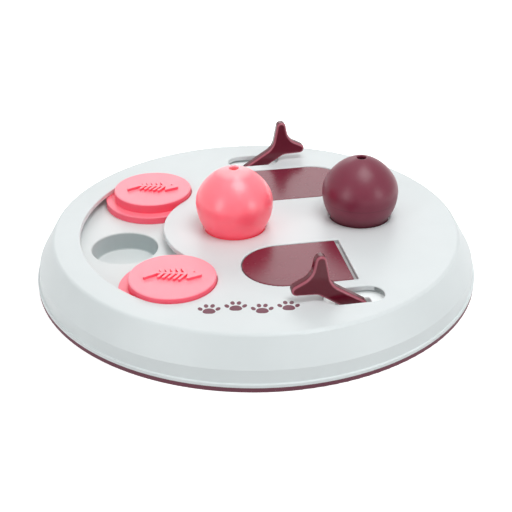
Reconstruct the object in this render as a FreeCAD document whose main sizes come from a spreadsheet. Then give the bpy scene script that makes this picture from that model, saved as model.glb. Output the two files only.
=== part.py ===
import FreeCAD, Part
import math
import operator
import os
from types import SimpleNamespace

import Sketcher
from FreeCAD import Vector

# Cat puzzle board: a round game board with two sliding lids that ride in a curved channel,
# two lift-off cones and two treat flaps that open when their fish-tail lever is pushed over.
#
# Frame: millimetres, +Z up. The origin is the centre of the board at the level that it
# stands on. +X runs along the straight row of cones, the channel lies on the -X side.
# The two flaps, their levers and the two cones are the same on both sides of the play
# centre, a vertical axis near X: the rear half is the front half turned by half a turn.

# Driving sizes, in millimetres and degrees.
SIZES = {
    # Top shell: a flat crown, a sloped shoulder, a steep side band and a thin lip.
    "lip_radius": 115.6,
    "lip_height": 1.6,
    "lip_reach": 1.0,
    "lip_round": 0.4,
    "band_draft": 0.7,
    "shoulder_height": 10.8,
    "shoulder_run": 8.0,
    "top_height": 24.7,
    "top_plate": 2.4,
    "skirt_wall": 2.4,
    "crown_round": 2.2,
    "edge_round": 0.6,
    # Rubber ring that the board stands on.
    "ring_height": 2.6,
    "ring_inset": 0.1,
    "ring_lip_wall": 2.2,
    "ring_lip_rise": 4.5,
    "ring_round": 0.4,
    "ring_seat_gap": 0.1,
    # Base tray: a plate under the shell that carries all the treat cups.
    "tray_drop": 4.5,
    "tray_plate": 2.0,
    "tray_edge_gap": 1.5,
    "tray_rim_drop": 3.0,
    "cup_floor": 8.0,
    "cup_wall": 1.8,
    "well_rim_radius": 17.2,
    "well_foot_radius": 16.0,
    "well_shift": 0.9,
    # Curved channel and its two sliding lids.
    "channel_radius": 70.3,
    "slide_turn": 45,
    "lid_radius": 21.4,
    "lid_gap": 0.3,
    "lid_stand": 2.4,
    "lid_round": 0.9,
    "lid_wall": 1.8,
    "flange_reach": 4.8,
    "flange_gap": 0.15,
    "flange_play": 0.45,
    "flange_round": 0.5,
    # Raised fish bone on each lid.
    "bone_turn": -14,
    "bone_rise": 1.6,
    "bone_width": 1.2,
    "spine_start": -7.4,
    "spine_length": 15.6,
    "rib_count": 5,
    "rib_first": -4.8,
    "rib_pitch": 2.8,
    "rib_length": 2.9,
    "rib_growth": 0.5,
    "rib_slant": 27,
    "tail_fin_length": 5.5,
    "tail_fin_half": 4.3,
    "head_length": 4.7,
    "head_half": 3.9,
    "nose_radius": 1.5,
    "eye_radius": 0.6,
    # Lift-off cones.
    "play_centre_x": 22.8,
    "play_centre_y": 0.8,
    "cone_spacing": 33.8,
    "cone_base_radius": 15.8,
    "cone_belly_radius": 20.1,
    "cone_belly_height": 14.2,
    "cone_shoulder_arc": 14.0,
    "cone_shoulder_turn": 30,
    "cone_crown_arc": 26.4,
    "cone_hole_radius": 2.4,
    "cone_hole_round": 0.6,
    "cone_wall": 1.8,
    "cone_gap": 0.5,
    "cone_foot_gap": 0.15,
    "cone_cup_radius": 13.4,
    "cone_cup_foot_radius": 12.2,
    # Treat flaps, each one piece with its shaft and fish-tail lever.
    "flap_offset": 46.0,
    "flap_width": 40.2,
    "flap_reach": 47.2,
    "flap_heel": 4.0,
    "flap_thickness": 2.0,
    "flap_sink": 0.2,
    "flap_gap": 0.4,
    "flap_heel_gap": 2.2,
    "flap_corner": 1.0,
    "flap_edge_round": 0.5,
    "hinge_offset": 9.6,
    "hinge_drop": 2.1,
    "shaft_radius": 1.75,
    "shaft_clearance": 0.06,
    "shaft_overhang": 1.0,
    # Fish-tail lever.
    "lever_offset": 80.5,
    "lever_thickness": 5.6,
    "lever_edge_round": 1.5,
    "stem_angle": 33,
    "stem_half": 3.8,
    "stem_heel": 3.3,
    "stem_lift": 0.6,
    "upper_fluke_reach": 16.6,
    "upper_fluke_rise": 25.3,
    "lower_fluke_reach": 27.7,
    "lower_fluke_rise": 10.8,
    "fluke_radius": 2.7,
    "fluke_front_lean": 10.8,
    "fluke_back_lean": 11.3,
    "fluke_top_fall": 28,
    "fluke_under_fall": 2.3,
    "neck_round": 10.0,
    "notch_round": 9.0,
    "under_round": 6.0,
    # Lever slot in the shell, and the raised floor and window of the tray below it.
    "slot_half_length": 14.8,
    "slot_width": 14.3,
    "slot_floor_drop": 1.9,
    "slot_floor_margin": 1.6,
    "window_half_length": 8.8,
    "window_side_gap": 0.7,
    "window_corner": 1.2,
    # Screws that hold the tray to the shell.
    "screw_count": 6,
    "screw_inset": 5.4,
    "screw_first_angle": 30,
    "boss_radius": 3.3,
    "screw_radius": 1.5,
    "screw_bite": 0.12,
    "screw_hole_gap": 0.2,
    "screw_grip": 4.6,
    "screw_head_radius": 2.8,
    "screw_head_height": 1.8,
    "screw_head_round": 0.6,
    "socket_width": 0.8,
    "socket_depth": 1.0,
}

SHEET = "sizes"
PARTS_FOLDER = "parts"
FULL_TURN = 360
HALF_TURN = 180
TOUCH = 0.001
# The front and rear half of the play field: a name and the sign that turns the sizes.
HALVES = (("front", 1), ("rear", -1))
CUTS = ("PartDesign::Pocket", "PartDesign::Groove")
OPERATIONS = {"+": operator.add, "-": operator.sub, "*": operator.mul, "/": operator.truediv}


class Size:
    """A length or angle, held as a number and as the expression that a property is bound to."""

    def __init__(self, value, text):
        self.value = float(value)
        self.text = text

    def __add__(self, other):
        return combine(self, "+", other)

    def __radd__(self, other):
        return combine(other, "+", self)

    def __sub__(self, other):
        return combine(self, "-", other)

    def __rsub__(self, other):
        return combine(other, "-", self)

    def __mul__(self, other):
        return combine(self, "*", other)

    def __rmul__(self, other):
        return combine(other, "*", self)

    def __truediv__(self, other):
        return combine(self, "/", other)

    def __neg__(self):
        return combine(-1, "*", self)


def as_size(number):
    """A plain number as a Size, and a Size as it is."""
    if isinstance(number, Size):
        return number
    return Size(number, repr(float(number)))


def combine(left, sign, right):
    left = as_size(left)
    right = as_size(right)
    value = OPERATIONS[sign](left.value, right.value)
    return Size(value, f"({left.text} {sign} {right.text})")


def cosine(angle):
    return Size(math.cos(math.radians(angle.value)), f"cos({angle.text})")


def sine(angle):
    return Size(math.sin(math.radians(angle.value)), f"sin({angle.text})")


def root(number):
    return Size(math.sqrt(number.value), f"sqrt({number.text})")


def add_sheet(doc):
    """Write the driving sizes to the spreadsheet, one row each, and return them by name."""
    sheet = doc.addObject("Spreadsheet::Sheet", SHEET)
    sizes = {}
    for row, (name, number) in enumerate(SIZES.items(), start=1):
        sheet.set(f"A{row}", name)
        sheet.set(f"B{row}", str(number))
        sheet.setAlias(f"B{row}", name)
        sizes[name] = Size(number, f"{SHEET}.{name}")
    doc.recompute()
    return sizes


def bind(thing, **properties):
    """Bind properties of a feature to sizes."""
    for name, size in properties.items():
        thing.setExpression(name, as_size(size).text)


def new_body(doc, label):
    body = doc.addObject("PartDesign::Body", label)
    body.Label = label
    return body


def origin_feature(body, role):
    return next(item for item in body.Origin.OriginFeatures if item.Role == role)


def new_sketch(body, name, plane, x=0, y=0, z=0, turn=0):
    """A sketch on an origin plane, shifted by x, y and z and turned about the plane's normal."""
    sketch = body.newObject("Sketcher::SketchObject", name)
    sketch.AttachmentSupport = (origin_feature(body, plane), [""])
    sketch.MapMode = "FlatFace"
    # On the XZ plane the sketch's own axes are X, Z and -Y.
    shift = (x, y, z) if plane == "XY_Plane" else (x, z, -as_size(y))
    for axis, distance in zip("xyz", shift):
        sketch.setExpression(f"AttachmentOffset.Base.{axis}", as_size(distance).text)
    sketch.setExpression("AttachmentOffset.Rotation.Angle", as_size(turn).text)
    return sketch


def fix_point(sketch, geometry, position, x=None, y=None):
    """Tie a point of a sketch to the sketch's origin, in x, in y or in both."""
    for kind, place in (("DistanceX", x), ("DistanceY", y)):
        if place is None:
            continue
        place = as_size(place)
        rule = Sketcher.Constraint(kind, -1, 1, geometry, position, place.value)
        bind_rule(sketch, rule, place)


def bind_rule(sketch, rule, size):
    index = sketch.addConstraint(rule)
    name = f"rule{index}"
    sketch.renameConstraint(index, name)
    sketch.setExpression(f"Constraints.{name}", size.text)


def draw_circle(sketch, x, y, radius):
    x, y, radius = as_size(x), as_size(y), as_size(radius)
    centre = Vector(x.value, y.value, 0)
    circle = sketch.addGeometry(Part.Circle(centre, Vector(0, 0, 1), radius.value))
    fix_point(sketch, circle, 3, x, y)
    bind_rule(sketch, Sketcher.Constraint("Radius", circle, radius.value), radius)


def draw_path(sketch, path):
    """Draw a closed outline through the given points.

    A point is (x, y) where a straight side arrives, or (x, y, centre_x, centre_y, turn) where
    an arc about that centre arrives, anticlockwise for a turn of 1 and clockwise for -1.
    """
    spots = []
    for step in path:
        x, y = as_size(step[0]), as_size(step[1])
        spots.append((x, y, Vector(x.value, y.value, 0)))
    ends = []
    for index, step in enumerate(path):
        start = spots[index - 1][2]
        stop = spots[index][2]
        if len(step) == 2:
            side = sketch.addGeometry(Part.LineSegment(start, stop))
            ends.append((side, 1, 2))
            continue
        centre_x, centre_y, turn = as_size(step[2]), as_size(step[3]), step[4]
        centre = Vector(centre_x.value, centre_y.value, 0)
        first, last = (start, stop) if turn > 0 else (stop, start)
        side = add_arc(sketch, centre, first, last)
        ends.append((side, 1, 2) if turn > 0 else (side, 2, 1))
    for index, (side, first, last) in enumerate(ends):
        following, entry, _ = ends[(index + 1) % len(ends)]
        sketch.addConstraint(Sketcher.Constraint("Coincident", side, last, following, entry))
        fix_point(sketch, side, last, spots[index][0], spots[index][1])
    for index, step in enumerate(path):
        if len(step) == 2:
            continue
        chord = spots[index][2] - spots[index - 1][2]
        if abs(chord.y) > abs(chord.x):
            fix_point(sketch, ends[index][0], 3, x=step[2])
        else:
            fix_point(sketch, ends[index][0], 3, y=step[3])


def add_arc(sketch, centre, first, last):
    """An anticlockwise arc from one point to another, about a centre."""
    radius = (first - centre).Length
    start = math.atan2(first.y - centre.y, first.x - centre.x)
    stop = math.atan2(last.y - centre.y, last.x - centre.x)
    circle = Part.Circle(centre, Vector(0, 0, 1), radius)
    return sketch.addGeometry(Part.ArcOfCircle(circle, start, stop))


def right_of(heading):
    """The unit vector to the right of a side that runs at this heading, in radians."""
    return Vector(math.sin(heading), -math.cos(heading), 0)


def belt_heading(first, second):
    """The heading of the straight side on the right of two rounds, each a (centre, radius)."""
    between = second[0] - first[0]
    lead = math.atan2(between.y, between.x)
    return lead + math.asin((first[1] - second[1]) / between.Length)


def fillet_centre(before, after, radius):
    """Centre of a hollow fillet of this radius between two sides, each a (point, heading)."""
    lines = []
    for point, heading in (before, after):
        away = right_of(heading)
        along = Vector(math.cos(heading), math.sin(heading), 0)
        lines.append((point + away * radius, along))
    (start, along), (other, across) = lines
    gap = other - start
    scale = along.x * across.y - along.y * across.x
    return start + along * ((gap.x * across.y - gap.y * across.x) / scale)


def draw_belt(sketch, rounds):
    """Draw a closed outline of straight sides that run anticlockwise from round to round.

    A round is (x, y, radius), a corner with a fixed centre, or ("hollow", heading in,
    heading out, radius), a hollow fillet between two sides at those headings.
    """
    count = len(rounds)
    hollow = [item[0] == "hollow" for item in rounds]
    radii = [as_size(item[-1]) for item in rounds]
    spots = [None if hollow[index] else (as_size(item[0]), as_size(item[1]))
             for index, item in enumerate(rounds)]
    centres = [spot and Vector(spot[0].value, spot[1].value, 0) for spot in spots]
    bound = []
    lines = []
    for index, item in enumerate(rounds):
        following = (index + 1) % count
        heading = None
        if hollow[index]:
            heading = item[2]
        elif hollow[following]:
            heading = rounds[following][1]
        bound.append(heading)
        if heading is None:
            pair = [(centres[each], radii[each].value) for each in (index, following)]
            lead = belt_heading(*pair)
        else:
            lead = math.radians(heading.value)
        anchor = following if hollow[index] else index
        lines.append((centres[anchor] + right_of(lead) * radii[anchor].value, lead))
    arcs = []
    for index in range(count):
        before = lines[index - 1]
        after = lines[index]
        radius = radii[index].value
        if hollow[index]:
            centre = fillet_centre(before, after, radius)
            touch_in = centre - right_of(before[1]) * radius
            touch_out = centre - right_of(after[1]) * radius
            arc = add_arc(sketch, centre, touch_out, touch_in)
            arcs.append((arc, 2, 1, touch_in, touch_out))
        else:
            touch_in = centres[index] + right_of(before[1]) * radius
            touch_out = centres[index] + right_of(after[1]) * radius
            arc = add_arc(sketch, centres[index], touch_in, touch_out)
            arcs.append((arc, 1, 2, touch_in, touch_out))
            fix_point(sketch, arc, 3, *spots[index])
        bind_rule(sketch, Sketcher.Constraint("Radius", arc, radius), radii[index])
    for index, (arc, _, leave, _, start) in enumerate(arcs):
        following, entry, _, stop, _ = arcs[(index + 1) % count]
        side = sketch.addGeometry(Part.LineSegment(start, stop))
        sketch.addConstraint(Sketcher.Constraint("Tangent", arc, leave, side, 1))
        sketch.addConstraint(Sketcher.Constraint("Tangent", side, 2, following, entry))
        if bound[index] is not None:
            angle = math.atan2(stop.y - start.y, stop.x - start.x)
            turns = round((math.degrees(angle) - bound[index].value) / FULL_TURN)
            rule = Sketcher.Constraint("Angle", side, angle)
            bind_rule(sketch, rule, bound[index] + FULL_TURN * turns)


def pad(body, name, sketch, length, downwards=False, both_ways=False):
    """Add material on a sketch, to the side that its plane faces or away from it."""
    feature = body.newObject("PartDesign::Pad", name)
    feature.Profile = sketch
    feature.Reversed = downwards
    feature.SideType = "Symmetric" if both_ways else "One side"
    bind(feature, Length=length)
    return feature


def pocket(body, name, sketch, length, both_ways=False):
    """Cut material below a sketch, or on both sides of it."""
    feature = body.newObject("PartDesign::Pocket", name)
    feature.Profile = sketch
    feature.SideType = "Symmetric" if both_ways else "One side"
    bind(feature, Length=length)
    return feature


def revolve(body, name, sketch):
    """Add material by a full turn of a sketch about its own upright axis."""
    feature = body.newObject("PartDesign::Revolution", name)
    feature.Profile = sketch
    feature.ReferenceAxis = (sketch, ["V_Axis"])
    feature.Angle = FULL_TURN
    return feature


def ring_pattern(body, name, features, count):
    """Repeat features evenly in a full ring about the body's Z axis."""
    pattern = body.newObject("PartDesign::PolarPattern", name)
    pattern.Originals = features
    pattern.Axis = (origin_feature(body, "Z_Axis"), [""])
    pattern.Angle = FULL_TURN
    bind(pattern, Occurrences=count)
    body.Tip = pattern
    return pattern


def round_edges(body, name, radius, chosen):
    """Round the edges of the body so far that the given test picks."""
    body.Document.recompute()
    base = body.Tip
    edges = [f"Edge{number}" for number, edge in enumerate(base.Shape.Edges, start=1)
             if chosen(edge)]
    feature = body.newObject("PartDesign::Fillet", name)
    feature.Base = (base, edges)
    bind(feature, Radius=radius)
    return feature


def lies_at(edge, height):
    """Whether an edge lies level at this height."""
    box = edge.BoundBox
    return abs(box.ZMin - height.value) < TOUCH and abs(box.ZMax - height.value) < TOUCH


def outer_radius(edge):
    """The largest distance of an edge's ends and middle from the Z axis."""
    middle = edge.valueAt((edge.FirstParameter + edge.LastParameter) / 2)
    points = [middle] + [vertex.Point for vertex in edge.Vertexes]
    return max(math.hypot(point.x, point.y) for point in points)


def derived(s):
    """Heights and places that several pieces share, worked out from the driving sizes."""
    s.underside = s.top_height - s.top_plate
    s.tray_top = s.underside - s.tray_drop
    s.tray_bottom = s.tray_top - s.tray_plate
    s.slot_floor = s.underside - s.slot_floor_drop
    s.hinge_height = s.underside - s.hinge_drop
    s.lid_top_height = s.top_height + s.lid_stand
    s.flange_height = s.tray_drop - s.flange_gap - s.flange_play
    s.band_radius = s.lip_radius - s.lip_reach
    s.shoulder_radius = s.band_radius - s.band_draft
    s.crown_radius = s.shoulder_radius - s.shoulder_run
    s.skirt_inner = s.shoulder_radius - s.skirt_wall
    # The shell's inner wall runs from the crown's underside down to the shoulder.
    slope = s.shoulder_run / (s.top_height - s.shoulder_height)
    s.inner_crown = s.crown_radius + s.top_plate * slope - s.skirt_wall
    inner_slope = (s.skirt_inner - s.inner_crown) / (s.underside - s.shoulder_height)
    s.tray_radius = (s.inner_crown + (s.underside - s.tray_top) * inner_slope
                     - s.tray_edge_gap)
    s.screw_circle = s.tray_radius - s.screw_inset
    s.ring_radius = s.lip_radius - s.ring_inset
    s.channel_half = s.lid_radius + s.lid_gap
    s.flap_half = s.flap_width / 2
    s.cone_opening = s.cone_base_radius + s.cone_gap
    return s


def channel_spots(s, shift=0):
    """Three places along the channel, in the order rear, middle, front.

    They lie on the channel's middle line, or nearer to the board's centre by a shift.
    """
    spots = []
    for turns in (-1, 0, 1):
        angle = HALF_TURN + s.slide_turn * turns
        radius = s.channel_radius - shift
        spots.append((radius * cosine(angle), radius * sine(angle)))
    return spots


def hinge_spot(s, sign, distance):
    """Point on a flap's hinge axis at this distance from the row of cones."""
    return s.play_centre_x + s.hinge_offset * sign, s.play_centre_y - distance * sign


def cone_spot(s, sign):
    return s.play_centre_x + s.cone_spacing * sign, s.play_centre_y


def slot_rounds(s, sign, margin):
    """Outline of a lever's slot, widened by a margin, as a belt about its two round ends."""
    x, y = hinge_spot(s, sign, s.lever_offset)
    reach = s.slot_half_length - s.slot_width / 2
    radius = s.slot_width / 2 + margin
    return [(x - reach, y, radius), (x + reach, y, radius)]


def flap_rounds(s, sign, margin, heel_margin, corner):
    """Outline of a flap, or of the opening or cup round it, as a belt about three rounds."""
    hinge_x, middle_y = hinge_spot(s, sign, s.flap_offset)
    tail_x = hinge_x - (s.flap_reach - s.flap_half) * sign
    heel_x = hinge_x + (s.flap_heel + heel_margin - corner) * sign
    side = (s.flap_half + margin - corner) * sign
    return [(tail_x, middle_y, s.flap_half + margin),
            (heel_x, middle_y - side, corner),
            (heel_x, middle_y + side, corner)]


def rim_screw_spot(s):
    return (s.screw_circle * cosine(s.screw_first_angle),
            s.screw_circle * sine(s.screw_first_angle))


def top_shell(doc, s):
    """Cover of the board: crown, shoulder and side band in one wall, with all openings."""
    body = new_body(doc, "top_shell")
    lip_top = s.ring_height + s.lip_height
    wall = new_sketch(body, "wall_profile", "XZ_Plane")
    draw_path(wall, [
        (0, s.underside),
        (s.inner_crown, s.underside),
        (s.skirt_inner, s.shoulder_height),
        (s.skirt_inner, s.ring_height),
        (s.lip_radius, s.ring_height),
        (s.lip_radius, lip_top),
        (s.band_radius, lip_top),
        (s.shoulder_radius, s.shoulder_height),
        (s.crown_radius, s.top_height),
        (0, s.top_height),
    ])
    revolve(body, "wall", wall)
    round_edges(body, "crown_rounding", s.crown_round,
                lambda edge: lies_at(edge, s.top_height))
    round_edges(body, "lip_rounding", s.lip_round, lambda edge: lies_at(edge, lip_top))

    cut_depth = s.top_plate * 2
    section = new_sketch(body, "channel_section", "XZ_Plane")
    draw_path(section, [
        (-s.channel_radius - s.channel_half, s.underside - s.top_plate),
        (-s.channel_radius + s.channel_half, s.underside - s.top_plate),
        (-s.channel_radius + s.channel_half, s.top_height + s.top_plate),
        (-s.channel_radius - s.channel_half, s.top_height + s.top_plate),
    ])
    channel = body.newObject("PartDesign::Groove", "channel")
    channel.Profile = section
    channel.ReferenceAxis = (section, ["V_Axis"])
    channel.Midplane = True
    bind(channel, Angle=s.slide_turn * 2)

    rear_well, _, front_well = channel_spots(s)
    for name, spot in (("rear", rear_well), ("front", front_well)):
        end = new_sketch(body, f"channel_end_{name}_outline", "XY_Plane", z=s.top_height)
        draw_circle(end, *spot, s.channel_half)
        pocket(body, f"channel_end_{name}", end, cut_depth)
    for name, sign in HALVES:
        mouth = new_sketch(body, f"flap_opening_{name}_outline", "XY_Plane", z=s.top_height)
        draw_belt(mouth, flap_rounds(s, sign, s.flap_gap, s.flap_heel_gap, s.flap_corner))
        pocket(body, f"flap_opening_{name}", mouth, cut_depth)
        slot = new_sketch(body, f"lever_slot_{name}_outline", "XY_Plane", z=s.top_height)
        draw_belt(slot, slot_rounds(s, sign, 0))
        pocket(body, f"lever_slot_{name}", slot, cut_depth)
        seat = new_sketch(body, f"cone_opening_{name}_outline", "XY_Plane", z=s.top_height)
        draw_circle(seat, *cone_spot(s, sign), s.cone_opening)
        pocket(body, f"cone_opening_{name}", seat, cut_depth)
    inside_crown = s.crown_radius.value - s.crown_round.value * 2
    round_edges(body, "opening_rounding", s.edge_round,
                lambda edge: lies_at(edge, s.top_height) and outer_radius(edge) < inside_crown)

    rim_x, rim_y = rim_screw_spot(s)
    patterned = []
    for name, x, y in (("middle", s.play_centre_x, s.play_centre_y), ("rim", rim_x, rim_y)):
        foot = new_sketch(body, f"boss_{name}_outline", "XY_Plane", z=s.underside)
        draw_circle(foot, x, y, s.boss_radius)
        boss = pad(body, f"boss_{name}", foot, s.underside - s.tray_top, downwards=True)
        bottom = new_sketch(body, f"pilot_{name}_outline", "XY_Plane",
                            z=s.tray_top + s.screw_grip)
        draw_circle(bottom, x, y, s.screw_radius - s.screw_bite)
        pilot = pocket(body, f"pilot_{name}", bottom, s.screw_grip)
        patterned = [boss, pilot]
    ring_pattern(body, "bosses", patterned, s.screw_count)
    return body


def base_tray(doc, s):
    """Inner tray: one moulding with the channel floor, all treat cups and the flap bearings."""
    body = new_body(doc, "base_tray")
    plate = new_sketch(body, "plate_profile", "XZ_Plane")
    draw_path(plate, [
        (0, s.tray_bottom),
        (s.tray_radius - s.cup_wall, s.tray_bottom),
        (s.tray_radius - s.cup_wall, s.tray_bottom - s.tray_rim_drop),
        (s.tray_radius, s.tray_bottom - s.tray_rim_drop),
        (s.tray_radius, s.tray_top),
        (0, s.tray_top),
    ])
    revolve(body, "plate", plate)

    cup_foot = s.cup_floor - s.cup_wall
    for name, (x, y) in zip(("rear", "middle", "front"), channel_spots(s, s.well_shift)):
        hole = new_sketch(body, f"well_{name}_hole_outline", "XY_Plane", z=s.tray_top)
        draw_circle(hole, x, y, s.well_rim_radius + s.cup_wall / 2)
        pocket(body, f"well_{name}_hole", hole, s.tray_plate)
        cup = new_sketch(body, f"well_{name}_profile", "XZ_Plane", x=x, y=y)
        brim = s.well_rim_radius + s.edge_round
        brow = s.tray_top - s.edge_round
        draw_path(cup, [
            (0, s.cup_floor),
            (0, cup_foot),
            (s.well_foot_radius + s.cup_wall, cup_foot),
            (s.well_rim_radius + s.cup_wall, s.tray_bottom),
            (s.well_rim_radius + s.cup_wall, s.tray_top),
            (brim, s.tray_top),
            (s.well_rim_radius, brow, brim, brow, 1),
            (s.well_foot_radius, s.cup_floor),
        ])
        revolve(body, f"well_{name}", cup)

    seat_radius = s.cone_opening + s.cup_wall
    for name, sign in HALVES:
        x, y = cone_spot(s, sign)
        hole = new_sketch(body, f"cone_cup_{name}_hole_outline", "XY_Plane", z=s.tray_top)
        draw_circle(hole, x, y, seat_radius - s.cup_wall / 2)
        pocket(body, f"cone_cup_{name}_hole", hole, s.tray_plate)
        cup = new_sketch(body, f"cone_cup_{name}_profile", "XZ_Plane", x=x, y=y)
        draw_path(cup, [
            (0, s.cup_floor),
            (0, cup_foot),
            (s.cone_cup_foot_radius + s.cup_wall, cup_foot),
            (s.cone_cup_radius + s.cup_wall, s.underside - s.cup_wall),
            (seat_radius - s.cup_wall, s.underside - s.cup_wall),
            (seat_radius - s.cup_wall, s.tray_bottom),
            (seat_radius, s.tray_bottom),
            (seat_radius, s.underside),
            (s.cone_cup_radius, s.underside),
            (s.cone_cup_foot_radius, s.cup_floor),
        ])
        revolve(body, f"cone_cup_{name}", cup)

        outside = new_sketch(body, f"flap_cup_{name}_outline", "XY_Plane", z=s.underside)
        draw_belt(outside, flap_rounds(s, sign, s.flap_gap + s.cup_wall,
                                       s.flap_heel_gap + s.cup_wall,
                                       s.flap_corner + s.cup_wall))
        pad(body, f"flap_cup_{name}", outside, s.underside - cup_foot, downwards=True)
        inside = new_sketch(body, f"flap_cup_{name}_inside_outline", "XY_Plane",
                            z=s.underside)
        draw_belt(inside, flap_rounds(s, sign, s.flap_gap, s.flap_heel_gap, s.flap_corner))
        pocket(body, f"flap_cup_{name}_inside", inside, s.underside - s.cup_floor)

        bearing_x, bearing_y = hinge_spot(s, sign, s.flap_offset)
        bore = s.shaft_radius + s.shaft_clearance
        notch = new_sketch(body, f"bearing_{name}_profile", "XZ_Plane", y=bearing_y)
        draw_path(notch, [
            (bearing_x + bore, s.hinge_height, bearing_x, s.hinge_height, 1),
            (bearing_x + bore, s.underside + bore),
            (bearing_x - bore, s.underside + bore),
            (bearing_x - bore, s.hinge_height),
        ])
        span = s.flap_width + (s.flap_gap + s.cup_wall + s.shaft_overhang) * 2
        pocket(body, f"bearing_{name}", notch, span, both_ways=True)

        # The floor that shows in the lever's slot has a groove for the shaft, and a window
        # that is no larger than the lever's heel needs.
        floor = new_sketch(body, f"slot_floor_{name}_outline", "XY_Plane", z=s.slot_floor)
        draw_belt(floor, slot_rounds(s, sign, s.slot_floor_margin))
        pad(body, f"slot_floor_{name}", floor, s.slot_floor - s.tray_bottom, downwards=True)
        window_x, window_y = hinge_spot(s, sign, s.lever_offset)
        side = s.slot_width / 2 + s.slot_floor_margin
        groove = new_sketch(body, f"shaft_groove_{name}_profile", "XZ_Plane",
                            y=window_y + side / 2 * sign)
        draw_path(groove, [
            (window_x + bore, s.hinge_height, window_x, s.hinge_height, 1),
            (window_x + bore, s.slot_floor + bore),
            (window_x - bore, s.slot_floor + bore),
            (window_x - bore, s.hinge_height),
        ])
        pocket(body, f"shaft_groove_{name}", groove, side, both_ways=True)
        reach_x = s.window_half_length - s.window_corner
        reach_y = s.lever_thickness / 2 + s.window_side_gap - s.window_corner
        corners = ((-1, -1), (1, -1), (1, 1), (-1, 1))
        window = new_sketch(body, f"window_{name}_outline", "XY_Plane", z=s.slot_floor)
        draw_belt(window, [(window_x + reach_x * right, window_y + reach_y * up,
                            s.window_corner) for right, up in corners])
        pocket(body, f"window_{name}", window, s.slot_floor - s.tray_bottom)

    rim_x, rim_y = rim_screw_spot(s)
    for name, x, y in (("middle", s.play_centre_x, s.play_centre_y), ("rim", rim_x, rim_y)):
        hole = new_sketch(body, f"screw_hole_{name}_outline", "XY_Plane", z=s.tray_top)
        draw_circle(hole, x, y, s.screw_radius + s.screw_hole_gap)
        screw_hole = pocket(body, f"screw_hole_{name}", hole, s.tray_plate)
    ring_pattern(body, "screw_holes", [screw_hole], s.screw_count)
    return body


def rubber_ring(doc, s):
    """Non-slip ring under the shell's edge, held by a lip that grips inside the skirt."""
    body = new_body(doc, "rubber_ring")
    lip_outside = s.skirt_inner - s.ring_seat_gap
    inside = lip_outside - s.ring_lip_wall
    lip_top = s.ring_height + s.ring_lip_rise
    profile = new_sketch(body, "ring_profile", "XZ_Plane")
    draw_path(profile, [
        (inside, 0),
        (s.ring_radius - s.ring_round, 0),
        (s.ring_radius, s.ring_round, s.ring_radius - s.ring_round, s.ring_round, 1),
        (s.ring_radius, s.ring_height),
        (lip_outside, s.ring_height),
        (lip_outside, lip_top),
        (inside, lip_top),
    ])
    revolve(body, "ring", profile)
    return body


def bar_rounds(x, y, end_x, end_y, radius):
    """A straight bar with round ends, as a belt about its two end rounds."""
    return [(x, y, radius), (end_x, end_y, radius)]


def add_fish_bone(body, s):
    """Raised fish bone on a lid: spine, slanted ribs, tail fin and head with an eye."""
    place = {"z": s.lid_top_height, "turn": s.bone_turn}
    half = s.bone_width / 2
    spine_end = s.spine_start + s.spine_length

    spine = new_sketch(body, "spine_outline", "XY_Plane", **place)
    draw_belt(spine, bar_rounds(s.spine_start, 0, spine_end, 0, half))
    pad(body, "spine", spine, s.bone_rise)

    ribs = new_sketch(body, "ribs_outline", "XY_Plane", **place)
    for index in range(SIZES["rib_count"]):
        x = s.rib_first + s.rib_pitch * index
        length = s.rib_length + s.rib_growth * index
        for side in (1, -1):
            # The root lies partly in the spine, and clear of the rib on the other side.
            root_y = s.bone_width * side * 3 / 4
            tip_x = x - length * sine(s.rib_slant)
            tip_y = root_y + length * cosine(s.rib_slant) * side
            draw_belt(ribs, bar_rounds(x, root_y, tip_x, tip_y, half))
    pad(body, "ribs", ribs, s.bone_rise)

    fin_x = s.spine_start - s.tail_fin_length
    fin = new_sketch(body, "tail_fin_outline", "XY_Plane", **place)
    draw_belt(fin, [(s.spine_start, 0, half),
                    (fin_x, s.tail_fin_half, half),
                    (fin_x, -s.tail_fin_half, half)])
    pad(body, "tail_fin", fin, s.bone_rise)

    head = new_sketch(body, "head_outline", "XY_Plane", **place)
    draw_belt(head, [(spine_end, -s.head_half, half),
                     (spine_end + s.head_length, 0, s.nose_radius),
                     (spine_end, s.head_half, half)])
    pad(body, "head", head, s.bone_rise)
    eye = new_sketch(body, "eye_outline", "XY_Plane",
                     z=s.lid_top_height + s.bone_rise, turn=s.bone_turn)
    draw_circle(eye, spine_end + s.head_length / 2, s.nose_radius, s.eye_radius)
    pocket(body, "eye", eye, s.bone_rise)


def slider_lid(doc, s, label, spot):
    """Sliding lid: a hollow disc whose flange is trapped between the tray and the shell."""
    body = new_body(doc, label)
    bottom = s.tray_top + s.flange_gap
    flange_top = bottom + s.flange_height
    flange_radius = s.lid_radius + s.flange_reach
    inside = s.lid_radius - s.lid_wall
    profile = new_sketch(body, "lid_profile", "XZ_Plane")
    flange_bend = flange_radius - s.flange_round
    flange_brow = flange_top - s.flange_round
    top_bend = s.lid_radius - s.lid_round
    top_brow = s.lid_top_height - s.lid_round
    draw_path(profile, [
        (inside, bottom),
        (flange_radius, bottom),
        (flange_radius, flange_brow),
        (flange_bend, flange_top, flange_bend, flange_brow, 1),
        (s.lid_radius, flange_top),
        (s.lid_radius, top_brow),
        (top_bend, s.lid_top_height, top_bend, top_brow, 1),
        (0, s.lid_top_height),
        (0, s.lid_top_height - s.lid_wall),
        (inside, s.lid_top_height - s.lid_wall),
    ])
    revolve(body, "lid", profile)
    add_fish_bone(body, s)
    place_body(body, *spot)
    return body


def place_body(body, x, y):
    body.setExpression("Placement.Base.x", as_size(x).text)
    body.setExpression("Placement.Base.y", as_size(y).text)


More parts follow.
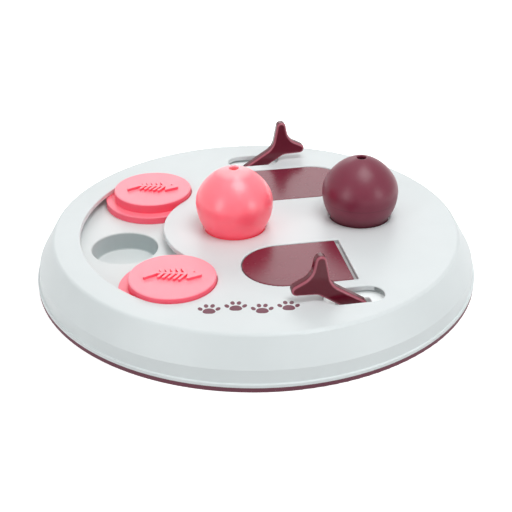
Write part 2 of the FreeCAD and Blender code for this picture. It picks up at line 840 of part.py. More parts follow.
def treat_cone(doc, s, label, sign):
    """Lift-off cone: a thin round shell with a hole at its tip, whose foot drops into a cup."""
    body = new_body(doc, label)
    base = s.top_height
    foot = s.underside + s.cone_foot_gap
    belly_z = base + s.cone_belly_height
    swell = s.cone_belly_radius - s.cone_base_radius
    lower_arc = (swell * swell + s.cone_belly_height * s.cone_belly_height) / (swell * 2)
    lower_x = s.cone_belly_radius - lower_arc
    shoulder_x = s.cone_belly_radius - s.cone_shoulder_arc
    along, up = cosine(s.cone_shoulder_turn), sine(s.cone_shoulder_turn)
    crown_x = shoulder_x - (s.cone_crown_arc - s.cone_shoulder_arc) * along
    crown_z = belly_z - (s.cone_crown_arc - s.cone_shoulder_arc) * up
    shrink = 1 - s.cone_wall / lower_arc
    inner_base_x = lower_x + (s.cone_base_radius - lower_x) * shrink
    inner_base_z = belly_z - s.cone_belly_height * shrink

    def crown_spot(arc, x):
        """Point of an arc about the crown's centre at this distance from the cone's axis."""
        return x, crown_z + root(arc * arc - (x - crown_x) * (x - crown_x))

    outer_tip = crown_spot(s.cone_crown_arc, s.cone_hole_radius)
    inner_arc = s.cone_crown_arc - s.cone_wall
    inner_tip = crown_spot(inner_arc, s.cone_hole_radius)
    shoulder_in = s.cone_shoulder_arc - s.cone_wall
    profile = new_sketch(body, "cone_profile", "XZ_Plane")
    draw_path(profile, [
        (inner_base_x, foot),
        (s.cone_base_radius, foot),
        (s.cone_base_radius, base),
        (s.cone_belly_radius, belly_z, lower_x, belly_z, 1),
        (shoulder_x + s.cone_shoulder_arc * along, belly_z + s.cone_shoulder_arc * up,
         shoulder_x, belly_z, 1),
        (*outer_tip, crown_x, crown_z, 1),
        inner_tip,
        (shoulder_x + shoulder_in * along, belly_z + shoulder_in * up, crown_x, crown_z, -1),
        (s.cone_belly_radius - s.cone_wall, belly_z, shoulder_x, belly_z, -1),
        (inner_base_x, inner_base_z, lower_x, belly_z, -1),
    ])
    revolve(body, "cone", profile)
    round_edges(body, "hole_rounding", s.cone_hole_round,
                lambda edge: lies_at(edge, outer_tip[1]))
    place_body(body, *cone_spot(s, sign))
    return body


def flap_lever(doc, s, label, turn):
    """Treat flap with its shaft and fish-tail lever in one moulding.

    It is drawn for the front half about the play centre, and turned into its place.
    """
    body = new_body(doc, label)
    hinge_x = s.hinge_offset
    half_thickness = s.lever_thickness / 2
    stem_in = HALF_TURN - s.stem_angle
    upright = HALF_TURN / 2
    tail = new_sketch(body, "fish_tail_outline", "XZ_Plane", y=-s.lever_offset)
    draw_belt(tail, [
        (hinge_x + s.stem_heel * cosine(s.stem_angle),
         s.hinge_height - s.stem_heel * sine(s.stem_angle) + s.stem_lift, s.stem_half),
        ("hollow", stem_in, upright + s.fluke_front_lean, s.neck_round),
        (hinge_x - s.upper_fluke_reach, s.hinge_height + s.upper_fluke_rise,
         s.fluke_radius),
        ("hollow", -upright - s.fluke_back_lean, HALF_TURN + s.fluke_top_fall,
         s.notch_round),
        (hinge_x - s.lower_fluke_reach, s.hinge_height + s.lower_fluke_rise,
         s.fluke_radius),
        ("hollow", -s.fluke_under_fall, -s.stem_angle, s.under_round),
    ])
    pad(body, "fish_tail", tail, s.lever_thickness, both_ways=True)
    faces_y = (-s.lever_offset.value - half_thickness.value,
               -s.lever_offset.value + half_thickness.value)
    round_edges(body, "fish_tail_rounding", s.lever_edge_round,
                lambda edge: any(abs(edge.BoundBox.YMin - y) < TOUCH
                                 and abs(edge.BoundBox.YMax - y) < TOUCH for y in faces_y))

    shaft_end = s.flap_offset - s.flap_half - s.flap_gap - s.cup_wall - s.shaft_overhang
    shaft = new_sketch(body, "shaft_outline", "XZ_Plane", y=-shaft_end)
    draw_circle(shaft, hinge_x, s.hinge_height, s.shaft_radius)
    pad(body, "shaft", shaft, s.lever_offset - shaft_end)

    plate_top = s.top_height - s.flap_sink
    plate_bottom = plate_top - s.flap_thickness
    rib = new_sketch(body, "hinge_rib_profile", "XZ_Plane", y=-s.flap_offset)
    draw_path(rib, [
        (hinge_x - s.shaft_radius, s.hinge_height),
        (hinge_x + s.shaft_radius, s.hinge_height),
        (hinge_x + s.shaft_radius, plate_bottom),
        (hinge_x - s.shaft_radius, plate_bottom),
    ])
    pad(body, "hinge_rib", rib, s.flap_width - s.flap_corner * 2, both_ways=True)
    plate = new_sketch(body, "flap_outline", "XY_Plane", z=plate_top)
    tail_x = s.hinge_offset - s.flap_reach + s.flap_half
    heel_x = s.hinge_offset + s.flap_heel - s.flap_corner
    side = s.flap_half - s.flap_corner
    draw_belt(plate, [(tail_x, -s.flap_offset, s.flap_half),
                      (heel_x, -s.flap_offset - side, s.flap_corner),
                      (heel_x, -s.flap_offset + side, s.flap_corner)])
    pad(body, "flap", plate, s.flap_thickness, downwards=True)
    round_edges(body, "flap_rounding", s.flap_edge_round,
                lambda edge: lies_at(edge, plate_top))
    place_body(body, s.play_centre_x, s.play_centre_y)
    body.setExpression("Placement.Rotation.Angle", as_size(turn).text)
    return body


def screws(doc, s):
    """Self-tapping screws with a cross recess, from below through the tray into the shell."""
    body = new_body(doc, "screws")
    head_bottom = s.tray_bottom - s.screw_head_height
    tip = s.tray_top + s.screw_grip - s.screw_hole_gap
    rim_x, rim_y = rim_screw_spot(s)
    for name, x, y in (("middle", s.play_centre_x, s.play_centre_y), ("rim", rim_x, rim_y)):
        profile = new_sketch(body, f"screw_{name}_profile", "XZ_Plane", x=x, y=y)
        bend = s.screw_head_radius - s.screw_head_round
        brow = head_bottom + s.screw_head_round
        draw_path(profile, [
            (0, head_bottom),
            (bend, head_bottom),
            (s.screw_head_radius, brow, bend, brow, 1),
            (s.screw_head_radius, s.tray_bottom),
            (s.screw_radius, s.tray_bottom),
            (s.screw_radius, tip - s.screw_radius / 2),
            (s.screw_radius / 2, tip),
            (0, tip),
        ])
        screw = revolve(body, f"screw_{name}", profile)
        recess = new_sketch(body, f"recess_{name}_outline", "XY_Plane", x=x, y=y,
                            z=head_bottom + s.socket_depth)
        arm = s.screw_radius
        half = s.socket_width / 2
        draw_path(recess, [
            (arm, -half), (arm, half), (half, half), (half, arm), (-half, arm),
            (-half, half), (-arm, half), (-arm, -half), (-half, -half), (-half, -arm),
            (half, -arm), (half, -half),
        ])
        socket = pocket(body, f"recess_{name}", recess, s.socket_depth)
    ring_pattern(body, "rim_screws", [screw, socket], s.screw_count)
    return body


def build():
    doc = FreeCAD.newDocument("cat_puzzle_board")
    s = derived(SimpleNamespace(**add_sheet(doc)))
    rear_spot, _, front_spot = channel_spots(s)
    bodies = [
        top_shell(doc, s),
        base_tray(doc, s),
        rubber_ring(doc, s),
        slider_lid(doc, s, "slider_rear", rear_spot),
        slider_lid(doc, s, "slider_front", front_spot),
        treat_cone(doc, s, "cone_pink", -1),
        treat_cone(doc, s, "cone_burgundy", 1),
        flap_lever(doc, s, "flap_lever_front", 0),
        flap_lever(doc, s, "flap_lever_rear", HALF_TURN),
        screws(doc, s),
    ]
    doc.recompute()
    check(doc, bodies)
    os.makedirs(PARTS_FOLDER, exist_ok=True)
    for body in bodies:
        body.Shape.exportStep(f"{PARTS_FOLDER}/{body.Label}.step")
        solids = len(body.Shape.Solids)
        print(f"{body.Label}: {solids} solid(s), {body.Shape.Volume / 1000:.2f} cm3")


def check(doc, bodies):
    """Stop if a feature failed, a cut took nothing away or a piece is not a valid solid."""
    failed = [item.Name for item in doc.Objects
              if {"Invalid", "Error"} & set(item.State)]
    if failed:
        raise RuntimeError(f"features failed: {failed}")
    empty = [item.Name for item in doc.Objects if item.TypeId in CUTS
             and item.Shape.Volume > item.BaseFeature.Shape.Volume - TOUCH]
    if empty:
        raise RuntimeError(f"cuts that take nothing away: {empty}")
    for body in bodies:
        if body.Shape.isNull() or not body.Shape.isValid() or not body.Shape.Solids:
            raise RuntimeError(f"{body.Label} is not a valid solid")


build()
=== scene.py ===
# %% [markdown]
# # A cat puzzle board, dressed for its picture
# The board is a game for a cat: dry treats go into wells, and the cat has to slide a lid, lift a
# cone or push a fish-tail lever to reach them. Its solids, joints and sizes come from the packed
# CAD model, so this script adds only what CAD leaves out: the camera, the light, the finishes and
# the small details. Everything is in metres, in the same frame as the CAD.

import math

import bmesh
import bpy
from mathutils import Matrix, Quaternion, Vector


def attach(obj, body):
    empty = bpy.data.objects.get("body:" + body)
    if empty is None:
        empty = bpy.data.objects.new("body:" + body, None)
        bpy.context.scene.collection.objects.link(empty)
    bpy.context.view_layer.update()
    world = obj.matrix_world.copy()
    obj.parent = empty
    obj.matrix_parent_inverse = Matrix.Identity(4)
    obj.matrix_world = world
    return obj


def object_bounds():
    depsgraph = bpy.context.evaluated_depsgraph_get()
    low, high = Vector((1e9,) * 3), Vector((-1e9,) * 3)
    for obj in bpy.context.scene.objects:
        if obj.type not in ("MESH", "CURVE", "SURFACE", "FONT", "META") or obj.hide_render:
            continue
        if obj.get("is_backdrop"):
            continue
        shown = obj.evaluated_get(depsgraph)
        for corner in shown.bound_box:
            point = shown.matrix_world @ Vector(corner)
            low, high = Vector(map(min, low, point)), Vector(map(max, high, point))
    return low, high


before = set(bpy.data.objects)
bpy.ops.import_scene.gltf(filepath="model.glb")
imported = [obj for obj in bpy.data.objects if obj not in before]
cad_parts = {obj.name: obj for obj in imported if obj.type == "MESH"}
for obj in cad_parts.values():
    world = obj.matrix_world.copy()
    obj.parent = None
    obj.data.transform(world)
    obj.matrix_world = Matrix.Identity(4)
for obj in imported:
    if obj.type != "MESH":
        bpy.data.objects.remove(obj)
cad_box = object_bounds()
scene = bpy.context.scene
MM = 0.001
print("nodes:", ", ".join(sorted(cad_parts)))
print("board in mm:", [round(size / MM, 1) for size in cad_box[1] - cad_box[0]])

# %% [markdown]
# ## Camera
# The photo was taken from about 30 degrees above the table with a long lens, which keeps the
# round board from looking stretched. A camera is easiest to place by two points, where it stands
# and what it looks at, and a last small roll about its own line of sight.

# %% Place the camera
CAMERA_SPOT = Vector((-0.08657, -0.49096, 0.28305))
CAMERA_AIM = Vector((0.00187, 0.00896, 0.0))
CAMERA_ROLL = math.radians(-0.517)
camera_data = bpy.data.cameras.new("photo_camera")
camera_data.sensor_width = 36
camera_data.lens = 74.64
camera_data.clip_start = 0.01
camera_data.shift_x = -0.00098
camera_data.shift_y = 0.00098
camera = bpy.data.objects.new("photo_camera", camera_data)
scene.collection.objects.link(camera)
camera.location = CAMERA_SPOT
camera.rotation_mode = "QUATERNION"
line_of_sight = (CAMERA_AIM - CAMERA_SPOT).to_track_quat("-Z", "Y")
camera.rotation_quaternion = line_of_sight @ Quaternion((0, 0, 1), CAMERA_ROLL)
scene.camera = camera
print("camera stands", round((CAMERA_AIM - CAMERA_SPOT).length, 3), "m from the board")

# %% [markdown]
# ## Finishes written as formulas
# A material in Blender is a net of nodes. Two small classes make it read like arithmetic: Wire
# stands for a socket that carries a value and knows how to be added or multiplied, and Finish
# holds one material and makes any node it is asked for.

# %% Colours
def shade(red, green, blue):
    """A colour from 0 to 255, as a picture shows it, in the linear light that Blender works in."""
    parts = []
    for part in (red, green, blue):
        part = part / 255
        parts.append(part / 12.92 if part <= 0.04045 else ((part + 0.055) / 1.055) ** 2.4)
    return (*parts, 1.0)


print("mid grey in linear light:", round(shade(128, 128, 128)[0], 3))

# %% A socket that can be used in a formula
class Wire:
    """A socket of a finish that carries a value."""

    def __init__(self, finish, socket):
        self.finish = finish
        self.socket = socket

    def maths(self, operation, first, second):
        return self.finish.node("ShaderNodeMath", {"operation": operation},
                                {0: first, 1: second})

    def __add__(self, other):
        return self.maths("ADD", self, other)

    def __radd__(self, other):
        return self.maths("ADD", other, self)

    def __sub__(self, other):
        return self.maths("SUBTRACT", self, other)

    def __rsub__(self, other):
        return self.maths("SUBTRACT", other, self)

    def __mul__(self, other):
        return self.maths("MULTIPLY", self, other)

    def __rmul__(self, other):
        return self.maths("MULTIPLY", other, self)


print("a formula of wires can hold +, - and *")

# %% A finish and its nodes
class Finish:
    """One surface finish: a Principled BSDF with steady values, and the nodes that feed it."""

    def __init__(self, name, steady=None):
        self.material = bpy.data.materials.new(name)
        self.material.use_nodes = True
        self.tree = self.material.node_tree
        self.shader = self.tree.nodes["Principled BSDF"]
        for socket, value in (steady or {}).items():
            self.shader.inputs[socket].default_value = value

    def node(self, kind, settings=None, sockets=None, output=0):
        """Add a node, set it up, feed its sockets and return one of its outputs."""
        made = self.tree.nodes.new(kind)
        for name, value in (settings or {}).items():
            setattr(made, name, value)
        for name, value in (sockets or {}).items():
            self.feed(made.inputs[name], value)
        return Wire(self, made.outputs[output])

    def feed(self, socket, value):
        if isinstance(value, Wire):
            self.tree.links.new(value.socket, socket)
        else:
            socket.default_value = value

    def set(self, socket, value):
        self.feed(self.shader.inputs[socket], value)

    def place(self):
        """Where on the board a point lies, in metres."""
        return self.node("ShaderNodeTexCoord", output="Object")

    def coordinate(self, axis):
        return self.node("ShaderNodeSeparateXYZ", sockets={0: self.place()}, output=axis)

    def across(self):
        """How far right of the board's middle a point lies, in metres."""
        return self.coordinate("X")

    def along(self):
        """How far behind the board's middle a point lies, in metres."""
        return self.coordinate("Y")

    def height(self):
        """How high a point lies, in metres, where it was modelled."""
        return self.coordinate("Z")

    def noise(self, size, detail=2.0):
        """Soft random blotches of about this size in metres, from 0 to 1."""
        return self.node("ShaderNodeTexNoise", {"normalize": True},
                         {"Vector": self.place(), "Scale": 1 / size, "Detail": detail})

    def size_of(self, value):
        """The value without its sign."""
        return value.maths("MAXIMUM", value, 0 - value)

    def step(self, value, low, high):
        """0 below low, 1 above high and a soft rise between them."""
        return self.node("ShaderNodeMapRange", {"interpolation_type": "SMOOTHSTEP"},
                         {"Value": value, "From Min": low, "From Max": high})

    def blend(self, share, first, second):
        """A colour between two colours."""
        return self.node("ShaderNodeMix", {"data_type": "RGBA"},
                         {"Factor": share, 6: first, 7: second}, output=2)

    def near(self, value, place, rise, fall):
        """1 near a place: it rises between two distances from it in mm, and falls between two."""
        low, high, start, end = (place + distance * MM for distance in (*rise, *fall))
        return self.step(value, low, high) - self.step(value, start, end)

    def bump(self, height, depth):
        """Relief of this depth in metres, where height runs from 0 to 1."""
        return self.node("ShaderNodeBump",
                         sockets={"Height": height, "Distance": depth, "Strength": 1.0})


print("finishes can make", ", ".join(name for name in vars(Finish) if name[0] != "_"))

# %% [markdown]
# ## Injection-moulded plastic
# Every hard piece of the board is moulded. Its colour is nearly even, with soft clouds where the
# melt flowed, and the mould leaves a very fine grain that breaks up the reflections. One function
# makes that for all the colours, because the pieces differ only in colour and in gloss.

# %% Moulded plastic
FLOW_SIZE = 45 * MM
CLOUD_SIZE = 6 * MM
ROUGHNESS_SPREAD = 0.04


def moulded_plastic(name, deep, pale, roughness, grain=0.45 * MM, depth=0.012 * MM, steady=None):
    """Plastic between two colours, with a grain of this size and depth in metres."""
    finish = Finish(name, steady)
    flow = finish.noise(FLOW_SIZE, detail=3.0)
    finish.colour = finish.blend(finish.step(flow, 0.3, 0.7), deep, pale)
    finish.set("Base Color", finish.colour)
    cloud = finish.noise(CLOUD_SIZE, detail=4.0)
    finish.set("Roughness", roughness - ROUGHNESS_SPREAD + cloud * (2 * ROUGHNESS_SPREAD))
    finish.set("Normal", finish.bump(finish.noise(grain), depth))
    print(name, "is a moulded plastic of", len(finish.tree.nodes), "nodes so far")
    return finish


print("the melt flowed in clouds of", FLOW_SIZE / MM, "mm")

# %% [markdown]
# ## The shell
# Little light reaches the far wall of the slot that the front lever swings in, so the wall is
# painted darker there. It is found by where it lies: below the top plate's surface, in front of
# the flap, and not so far out that the shoulder of the shell is meant.

# %% The shell
TOP_PLATE = 24.7 * MM
shell_white = moulded_plastic("shell_white", shade(219, 226, 227), shade(223, 230, 231), 0.42)
across = shell_white.across()
towards = 0 - shell_white.along()
wall = shell_white.near(shell_white.height(), TOP_PLATE, (-5.7, -5.3), (-0.7, -0.3))
in_front = shell_white.step(towards, 73.5 * MM, 74.0 * MM)
print("the top plate lies", round(TOP_PLATE / MM, 1), "mm above the table")

# %% The slot's dark wall
# Squares of the distance from the board's middle: its round shoulder starts 95 mm out.
INSIDE_SHOULDER = (0.0090, 0.0092)
inside = 1 - shell_white.step(across * across + towards * towards, *INSIDE_SHOULDER)
slot_shade = shell_white.blend(shell_white.step(across, 38 * MM, 52 * MM),
                               shade(100, 108, 108), shade(160, 168, 168))
shell_white.set("Base Color", shell_white.blend(wall * in_front * inside, shell_white.colour,
                                                slot_shade))
print("shell_white has", len(shell_white.tree.nodes), "nodes")

# %% [markdown]
# ## The tray
# The tray is the same plastic, but little light reaches the upright walls of its wells, so they
# are painted darker as shade, and the well floors are painted paler as light. Around the cups and
# the lever slots on the other side the plastic is thin, and a painted glow stands in for the light
# of the white table below; the channel floor gets a fainter painted glow.

# %% Places on the tray
WELL_FLOOR = 8.2 * MM
CHANNEL_FLOOR = 17.9 * MM
RAISED_FLOOR = 20.0 * MM
tray_white = moulded_plastic("tray_white", shade(219, 226, 226), shade(223, 229, 229), 0.45)
height = tray_white.height()
across = tray_white.across()
well_side = 1 - tray_white.step(across, -40 * MM, -36 * MM)
walls = tray_white.near(height, WELL_FLOOR, (0.0, 1.0), (8.4, 9.4))
well_floors = 1 - tray_white.step(height, WELL_FLOOR - 0.1 * MM, WELL_FLOOR + 0.2 * MM)
channel = tray_white.step(height, CHANNEL_FLOOR - 0.3 * MM, CHANNEL_FLOOR)
raised = tray_white.step(height, RAISED_FLOOR - 0.5 * MM, RAISED_FLOOR)
print("the wells are", round((CHANNEL_FLOOR - WELL_FLOOR) / MM, 1), "mm deep")

# %% The tray's colour and glow
# Painted shade: the walls of the wells are darker, less so at the far left, and the well floors
# are painted paler, as light.
shadow = 0.35 + tray_white.step(across, -98 * MM, -76 * MM) * 0.45
painted_wall_shade = tray_white.blend(walls * well_side * shadow, tray_white.colour,
                               shade(164, 177, 178))
tray_white.set("Base Color", tray_white.blend(well_side * well_floors, painted_wall_shade,
                                              shade(228, 234, 234)))
# Painted glow: emission lightens the tray round the cups and lever slots, most on the raised
# floors, and faintly on the channel floor.
painted_glow = (0.08 + raised * 0.22) * (1 - well_side) + well_side * channel * 0.05
tray_white.set("Emission Color", tray_white.blend(painted_glow, (0, 0, 0, 1), (1, 1, 1, 1)))
tray_white.set("Emission Strength", 1.0)
print("tray_white has", len(tray_white.tree.nodes), "nodes")

# %% [markdown]
# ## Two pinks that let light through
# The pink plastic is a little see-through, so light that enters it comes out again next to where
# it went in, and deep places glow red. A faint painted glow brightens both pinks. The level faces
# of a lid are painted paler than the upright walls of its rim and of the raised fish bone, as a
# painted sheen.

# %% The pink of the lids
SOFT_PINK = {"Subsurface Weight": 0.35, "Subsurface Radius": (0.006, 0.0015, 0.0018),
             "Subsurface Scale": 1.0, "Emission Strength": 1.0}
LID_TOP = 27.1 * MM
BONE_TOP = 28.7 * MM
FLANGE_TOP = 21.85 * MM
lid_pink = moulded_plastic("lid_pink", shade(252, 94, 117), shade(254, 100, 123), 0.40,
                           steady=SOFT_PINK)
height = lid_pink.height()
# Painted sheen: the level faces of the lid, the fish bone and the flange are painted paler.
level = lid_pink.near(height, LID_TOP, (-0.7, -0.1), (0.1, 0.2))
bone_level = lid_pink.step(height, BONE_TOP - 0.2 * MM, BONE_TOP - 0.1 * MM)
flange = lid_pink.near(height, FLANGE_TOP, (-1.2, -0.1), (0.1, 0.3))
painted_sheen = level + bone_level + flange * 0.55
lid_pink.set("Base Color", lid_pink.blend(painted_sheen, lid_pink.colour, shade(255, 156, 170)))
# Painted glow: a faint emission brightens the lid's pink.
lid_pink.set("Emission Color", (0.08, 0.0, 0.002, 1))

# %% The pink of the cone
GLOSSY_PINK = SOFT_PINK | {"Specular IOR Level": 0.8, "Coat Weight": 0.4, "Coat Roughness": 0.24}
cone_pink = moulded_plastic("cone_pink", shade(255, 84, 108), shade(255, 90, 114), 0.33,
                            steady=GLOSSY_PINK)
height = cone_pink.height()
# Painted highlight: the cone is painted paler towards its top, and paler still round the hole at
# its tip.
upper = cone_pink.step(height, 24 * MM, 56 * MM)
tip = cone_pink.step(height, 54.5 * MM, 57 * MM)
crown_highlight = cone_pink.blend(upper, cone_pink.colour, shade(255, 124, 139))
cone_pink.set("Base Color", cone_pink.blend(tip * 0.6, crown_highlight, shade(255, 196, 202)))
# Painted glow: emission brightens the cone, more towards the top and less at the tip.
painted_cone_glow = cone_pink.blend(upper, (0.14, 0.002, 0.006, 1), (0.22, 0.010, 0.016, 1))
cone_pink.set("Emission Color", cone_pink.blend(tip, painted_cone_glow, (0.06, 0.012, 0.018, 1)))

# %% [markdown]
# ## The burgundy cone
# The cone is painted darker close to its seat, as shade. A fine line runs round it where the two
# halves of its mould met.

# %% The burgundy cone
PARTING_LINE = 35.25 * MM
cone_burgundy = moulded_plastic("cone_burgundy", shade(115, 30, 55), shade(121, 34, 60), 0.36)
height = cone_burgundy.height()
# Painted shade: the cone is darker towards its seat.
seat = 1 - cone_burgundy.step(height, 25 * MM, 33 * MM)
seat_shade = cone_burgundy.blend(seat * 0.8, cone_burgundy.colour, shade(88, 22, 40))
parting = cone_burgundy.near(height, PARTING_LINE, (-0.25, -0.15), (0.15, 0.25))
cone_burgundy.set("Base Color", cone_burgundy.blend(parting * 0.35, seat_shade, shade(70, 18, 32)))

# %% [markdown]
# ## Flaps and levers
# A flap and its fish-tail lever are one moulding, but the lever is glossier. Its face is painted
# darker as shade, the front one most, and its rounded edges get a painted highlight. The levers
# lie farthest from the board's middle line, so how far behind it a point lies tells a lever from a
# flap, and how far from the lever's own middle plane tells its edges from its face.

# %% Places on the flaps
LEVER_START = 69 * MM
FRONT_LEVER = -79.7 * MM
REAR_LEVER = 81.3 * MM
LEVER_EDGE = 2.2 * MM
flap_burgundy = moulded_plastic("flap_burgundy", shade(116, 30, 50), shade(122, 34, 56), 0.27,
                                grain=1.4 * MM, depth=0.004 * MM,
                                steady={"Specular IOR Level": 0.36})
along = flap_burgundy.along()
lever = flap_burgundy.step(flap_burgundy.size_of(along), LEVER_START, LEVER_START + 0.5 * MM)
from_front = flap_burgundy.size_of(along - FRONT_LEVER)
from_rear = flap_burgundy.size_of(along - REAR_LEVER)
from_middle = from_front.maths("MINIMUM", from_front, from_rear)
edge_highlight = flap_burgundy.near(from_middle, LEVER_EDGE, (-0.6, 0.0), (0.4, 0.6))
rear = flap_burgundy.step(along, -1 * MM, 1 * MM)
print("the levers' middle planes are", round((REAR_LEVER - FRONT_LEVER) / MM, 1), "mm apart")

# %% The flaps' colour and gloss
# Painted shade: the lever's face is darker than the flap, the front lever's most.
face = flap_burgundy.blend(rear, shade(98, 18, 37), shade(104, 36, 51))
body = flap_burgundy.blend(lever, flap_burgundy.colour, face)
# Painted highlight: the lever's rounded edges are paler.
flap_burgundy.set("Base Color", flap_burgundy.blend(edge_highlight * 0.6, body, shade(205, 112, 130)))
flap_burgundy.set("Roughness", 0.25 + flap_burgundy.noise(CLOUD_SIZE) * 0.04 - lever * 0.13)
print("flap_burgundy has", len(flap_burgundy.tree.nodes), "nodes")

# %% [markdown]
# ## Rubber and steel
# The ring that the board stands on is a soft rubber: duller than the plastic, with a coarser
# skin. The screws underneath are plated steel, so they are a metal with a faint brushed look.

# %% Rubber ring
ring_burgundy = moulded_plastic("ring_burgundy", shade(96, 44, 60), shade(104, 50, 66), 0.62,
                                grain=0.7 * MM, depth=0.03 * MM)

# %% Plated screws
screw_steel = Finish("screw_steel", {"Metallic": 1.0})
tarnish = screw_steel.noise(1.2 * MM, detail=3.0)
screw_steel.set("Base Color", screw_steel.blend(tarnish, shade(150, 152, 156),
                                                shade(196, 197, 200)))
screw_steel.set("Roughness", 0.28 + tarnish * 0.2)
screw_steel.set("Normal", screw_steel.bump(screw_steel.noise(0.2 * MM), 0.006 * MM))
print("screw_steel has", len(screw_steel.tree.nodes), "nodes")

# %% [markdown]
# ## The finishes on the board
# The print on the top is a matt ink. After it each node of the CAD gets its own finish, and the
# paws, which CAD leaves out, get the ink further down.

# %% Printed ink
print_ink = moulded_plastic("print_ink", shade(104, 48, 66), shade(112, 56, 74), 0.5)

# %% Give each CAD node its finish
FINISH_OF = {
    "top_shell": shell_white,
    "base_tray": tray_white,
    "rubber_ring": ring_burgundy,
    "slider_rear": lid_pink,
    "slider_front": lid_pink,
    "cone_pink": cone_pink,
    "cone_burgundy": cone_burgundy,
    "flap_lever_front": flap_burgundy,
    "flap_lever_rear": flap_burgundy,
    "screws": screw_steel,
}
for name, finish in FINISH_OF.items():
    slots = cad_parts[name].material_slots
    for slot in slots:
        slot.material = finish.material
    print(name, "has", len(slots), "material slot(s)")

# %% [markdown]
# ## Paw prints
# The front of the top carries a print in burgundy ink: a short row of paws, each with one large
# pad and four toes, in a layer of ink that is thinner than a hair.

# %% Add a small piece
def add_piece(name, mesh, finish, body):
    """Make an object of a finished mesh, which lies where it belongs, and let it ride."""
    bmesh.ops.recalc_face_normals(mesh, faces=mesh.faces)
    data = bpy.data.meshes.new(name)
    mesh.to_mesh(data)
    mesh.free()
    data.materials.append(finish.material)
    piece = bpy.data.objects.new(name, data)
    scene.collection.objects.link(piece)
    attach(piece, body)
    print(name, "has", len(data.polygons), "faces and rides on", body)


# %% Draw one pad
INK = 0.04 * MM
PAD_POINTS = 36


def add_pad(mesh, centre, turn, wide, long, dent=0.0):
    """A flat blob of ink: an ellipse, with a dent in its heel if it is a large pad."""
    outline = []
    for place in range(PAD_POINTS):
        angle = math.tau * place / PAD_POINTS
        reach = 1 - dent * math.exp(-((angle - 1.5 * math.pi) / 0.55) ** 2)
        reach -= dent * 0.5 * abs(math.cos(angle)) ** 2 * (math.sin(angle) > 0)
        point = Vector((wide / 2 * reach * math.cos(angle), long / 2 * reach * math.sin(angle)))
        point.rotate(Matrix.Rotation(turn, 2))
        outline.append(mesh.verts.new((centre.x + point.x, centre.y + point.y, TOP_PLATE)))
    base = mesh.faces.new(outline)
    raised = bmesh.ops.extrude_face_region(mesh, geom=[base], use_keep_orig=True)
    top = [item for item in raised["geom"] if isinstance(item, bmesh.types.BMVert)]
    bmesh.ops.translate(mesh, verts=top, vec=(0, 0, INK))


print("the ink is", INK / MM, "mm thick")

# %% Lay the row
# Each toe lies this far to the right and ahead of its pad in mm, and is turned by so many degrees.
TOES = ((-4.1, 2.0, 24), (-1.5, 4.6, 8), (1.5, 4.6, -8), (4.1, 2.0, -24))
PAD = {"wide": 6.1 * MM, "long": 4.9 * MM, "dent": 0.16}
TOE = {"wide": 2.1 * MM, "long": 3.1 * MM}
PACE = 12.2 * MM
ASIDE = 1.2 * MM
ROW_START = Vector((-0.0362, -0.0800))
ROW_WAY = Vector((0.985, -0.174))
heading = math.atan2(ROW_WAY.y, ROW_WAY.x)
prints = bmesh.new()
for number in range(4):
    aside = ROW_WAY.orthogonal() * (-ASIDE, ASIDE)[number % 2]
    spot = ROW_START + ROW_WAY * (PACE * number) + aside
    add_pad(prints, spot, heading, **PAD)
    for right, ahead, splay in TOES:
        toe = Vector((right, ahead)) * MM
        toe.rotate(Matrix.Rotation(heading, 2))
        add_pad(prints, spot + toe, heading + math.radians(splay), **TOE)
add_piece("paw_prints", prints, print_ink, "board")

# %% [markdown]
# ## Floor and light
# Product photos of pale things are taken on white paper under big soft lamps. The floor here is
# near white, and for the camera it also glows a little, so that it comes out as plain white while
# the shadow of the board still shows. The world does the same above the horizon.

# %% White floor
def camera_share(finish):
    """1 for what the camera sees directly, in a mirror or through glass, else 0."""
    seen = [finish.node("ShaderNodeLightPath", output=name)
            for name in ("Is Camera Ray", "Is Glossy Ray", "Is Transmission Ray")]
    both = seen[0].maths("MAXIMUM", seen[0], seen[1])
    return both.maths("MAXIMUM", both, seen[2])


FLOOR_REACH = 3.0
paper = Finish("paper", {"Roughness": 0.9, "Specular IOR Level": 0.1, "Emission Strength": 1.0})
paper.set("Base Color", paper.blend(paper.noise(0.2), shade(214, 214, 214),
                                    shade(216, 216, 216)))
paper.set("Emission Color", paper.blend(camera_share(paper), (0, 0, 0, 1),
                                        (0.78, 0.78, 0.78, 1)))
ground = bmesh.new()
bmesh.ops.create_circle(ground, cap_ends=True, segments=64, radius=FLOOR_REACH)
floor_mesh = bpy.data.meshes.new("floor")
ground.to_mesh(floor_mesh)
ground.free()
floor_mesh.materials.append(paper.material)
floor = bpy.data.objects.new("floor", floor_mesh)
floor.location.z = -0.1 * MM
scene.collection.objects.link(floor)
floor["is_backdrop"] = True
print("the floor reaches", FLOOR_REACH, "m to all sides")

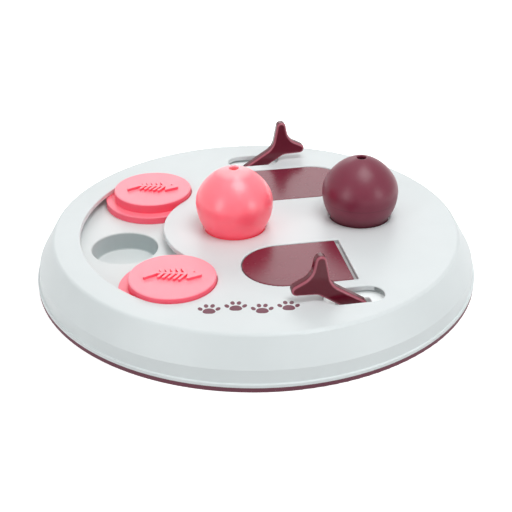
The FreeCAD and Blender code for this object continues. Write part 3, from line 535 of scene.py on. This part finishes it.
# %% White surroundings
world = bpy.data.worlds.new("studio")
world.use_nodes = True
scene.world = world
sky = world.node_tree.nodes["Background"]
AMBIENT = 0.33
path = world.node_tree.nodes.new("ShaderNodeLightPath")
seen = path.outputs["Is Camera Ray"]
for kind in ("Is Glossy Ray", "Is Transmission Ray"):
    either = world.node_tree.nodes.new("ShaderNodeMath")
    either.operation = "MAXIMUM"
    world.node_tree.links.new(seen, either.inputs[0])
    world.node_tree.links.new(path.outputs[kind], either.inputs[1])
    seen = either.outputs[0]
brightness = world.node_tree.nodes.new("ShaderNodeMapRange")
brightness.inputs["To Min"].default_value = AMBIENT
world.node_tree.links.new(seen, brightness.inputs["Value"])
world.node_tree.links.new(brightness.outputs["Result"], sky.inputs["Strength"])
sky.inputs["Color"].default_value = (1, 1, 1, 1)
print("surroundings light the board at", AMBIENT)

# %% [markdown]
# ## Lamps
# The highlights on the two cones give the lamps away: an upright one on each side, low and in
# front, and one overhead. A fourth, wide one hangs over the back of the board for the pale level
# faces, and a fifth behind it gives the sheen on the lids. Colours are shown as they are written,
# so a finish can be compared with what it should look like.

# %% Soft boxes
def soft_box(name, around, above, distance, width, height, power):
    """A lamp that faces the board: degrees round and above it, then metres and watts."""
    lamp_data = bpy.data.lights.new(name, "AREA")
    lamp_data.shape = "RECTANGLE"
    lamp_data.size = width
    lamp_data.size_y = height
    lamp_data.energy = power
    lamp = bpy.data.objects.new(name, lamp_data)
    scene.collection.objects.link(lamp)
    turn = math.radians(around)
    rise = math.radians(above)
    towards = Vector((math.sin(turn) * math.cos(rise), -math.cos(turn) * math.cos(rise),
                      math.sin(rise)))
    lamp.location = towards * distance
    lamp.rotation_mode = "QUATERNION"
    lamp.rotation_quaternion = towards.to_track_quat("Z", "Y")
    print(name, "stands at", [round(part, 2) for part in lamp.location])


VIEW_TURN = -10
soft_box("lamp_left", VIEW_TURN - 46, 20, 1.2, 0.34, 0.8, 2.9)
soft_box("lamp_right", VIEW_TURN + 56, 18, 1.2, 0.3, 0.6, 2.2)
soft_box("lamp_above", VIEW_TURN + 50, 74, 1.2, 0.62, 0.62, 5.8)
soft_box("lamp_roof", VIEW_TURN + 180, 84, 1.4, 1.6, 1.4, 3.2)
soft_box("lamp_behind", VIEW_TURN + 180, 32, 1.3, 0.9, 0.5, 2.6)

# %% Plain colours
scene.view_settings.view_transform = "Standard"
print("view transform:", scene.view_settings.view_transform)

# %% The board's box before and after dressing
boxes = {"cad": [list(corner) for corner in cad_box],
         "dressed": [list(corner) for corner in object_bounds()]}
sizes = [round((high - low) / MM, 1) for low, high in zip(*boxes["dressed"])]
print("dressed board in mm:", sizes)
